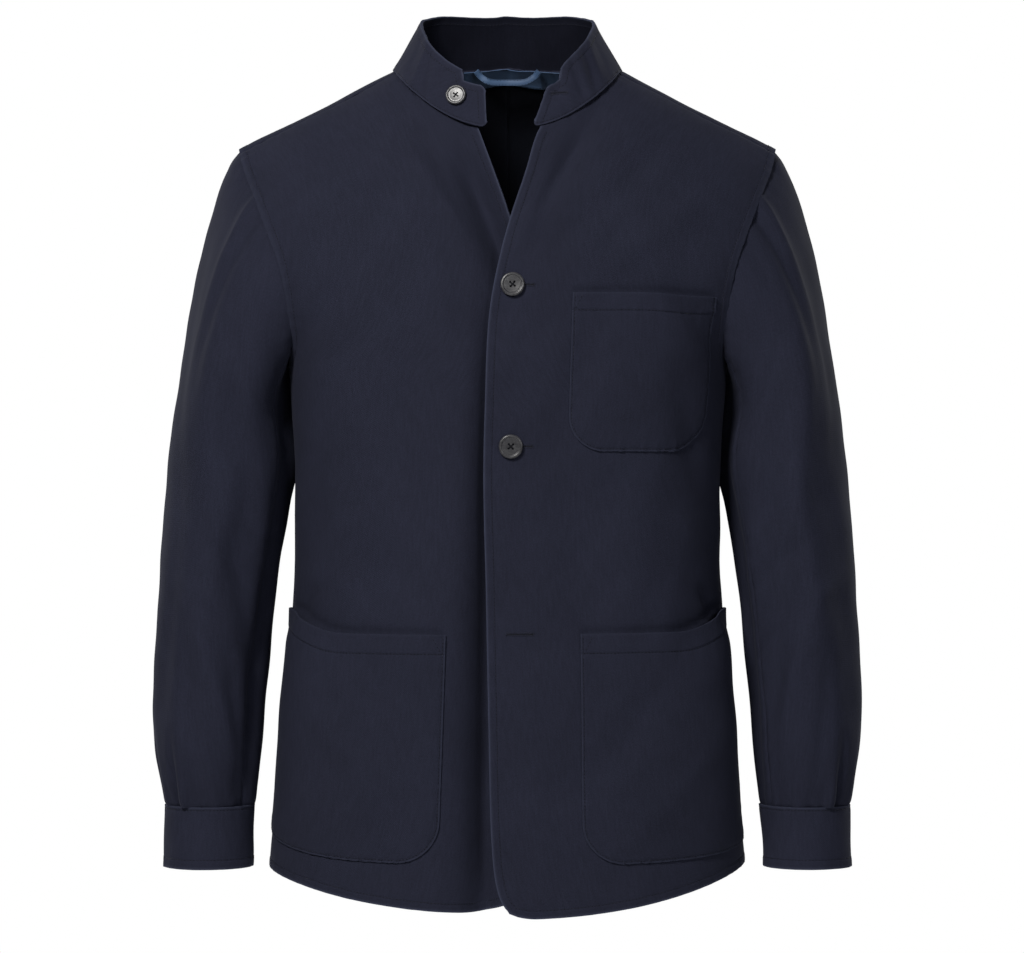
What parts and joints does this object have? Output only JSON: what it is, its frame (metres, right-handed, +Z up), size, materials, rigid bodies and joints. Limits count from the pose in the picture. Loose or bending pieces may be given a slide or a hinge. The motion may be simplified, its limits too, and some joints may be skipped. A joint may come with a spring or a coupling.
{
  "type": "shirt jacket",
  "caption": "Shirt jacket in its worn, hollow form: stand collar, open neck, buttoned front, patch pockets, pleated cuffs.",
  "frame": {"origin": "midway between the two neck points of the shoulders, where the wearer's shoulders carry the jacket", "axes": "+Z up along the worn body, -Y out of the front, +X to the wearer's left"},
  "size_m": [0.6028, 0.2692, 0.7654],
  "materials": {
    "cloth": "brushed matte cotton, navy",
    "facing_cloth": "smooth steel blue lining cloth",
    "horn": "dark grey horn-like, satin"
  },
  "bodies": {
    "root": {"front_left": "cloth", "front_right": "cloth", "back_left": "cloth", "back_right": "cloth", "sleeve_left_upper": "cloth", "sleeve_left_under": "cloth", "sleeve_right_upper": "cloth", "sleeve_right_under": "cloth", "cuff_left": "cloth", "cuff_right": "cloth", "collar_stand": "cloth", "pocket_chest": "cloth", "pocket_lower_left": "cloth", "pocket_lower_right": "cloth", "neck_facing": "facing_cloth", "hanger_loop": "facing_cloth", "button_collar": "horn", "button_front_1": "horn", "button_front_2": "horn", "button_front_3": "horn", "button_cuff_left": "horn", "button_cuff_right": "horn"}
  },
  "joints": []
}
